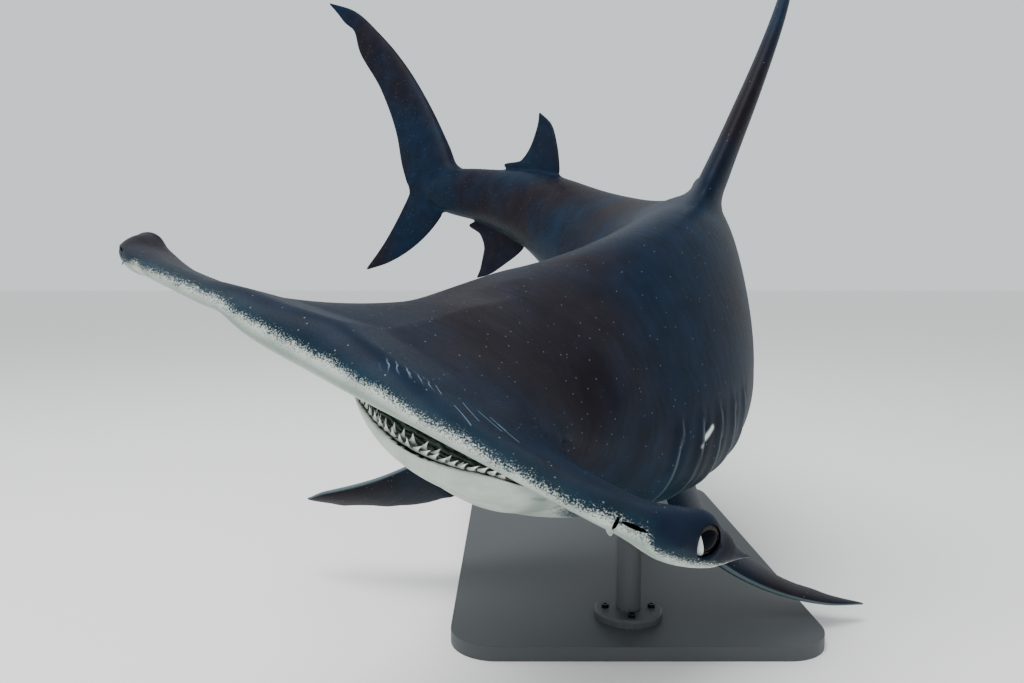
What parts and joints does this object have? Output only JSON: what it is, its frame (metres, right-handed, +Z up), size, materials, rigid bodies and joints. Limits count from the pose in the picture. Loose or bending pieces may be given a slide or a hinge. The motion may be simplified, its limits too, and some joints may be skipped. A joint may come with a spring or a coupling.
{
  "type": "great hammerhead shark display model",
  "caption": "Swimming great hammerhead shark with an open mouth and a bent body, held over a flat stand by short rods.",
  "frame": {"origin": "centre of the underside of the stand's flat base", "axes": "+Z up; the head is at the -Y end, so +Y runs towards the tail and -Y faces the viewer; +X is the viewer's right, which is the shark's left side at its chest"},
  "size_m": [1.3447, 2.5394, 1.6732],
  "materials": {
    "shark_skin": "smooth satin hide, dark above and pale below",
    "pale_skin": "smooth satin hide",
    "eye": "wet gloss",
    "teeth": "enamel",
    "mouth_lining": "wet membrane",
    "stand_steel": "matte dark grey powder coat"
  },
  "bodies": {
    "root": {"head": "shark_skin", "lower_jaw": "pale_skin", "eye_left": "eye", "eye_right": "eye", "torso_front": "shark_skin", "torso_middle": "shark_skin", "torso_rear": "shark_skin", "tail_stalk": "shark_skin", "first_dorsal_fin": "shark_skin", "second_dorsal_fin": "shark_skin", "anal_fin": "shark_skin", "pectoral_fin_left": "shark_skin", "pectoral_fin_right": "shark_skin", "pelvic_fin_left": "shark_skin", "pelvic_fin_right": "shark_skin", "caudal_upper_lobe": "shark_skin", "caudal_lower_lobe": "shark_skin", "stand_base": "stand_steel", "stand_rod_front": "stand_steel", "stand_rod_rear": "stand_steel"}
  },
  "joints": []
}
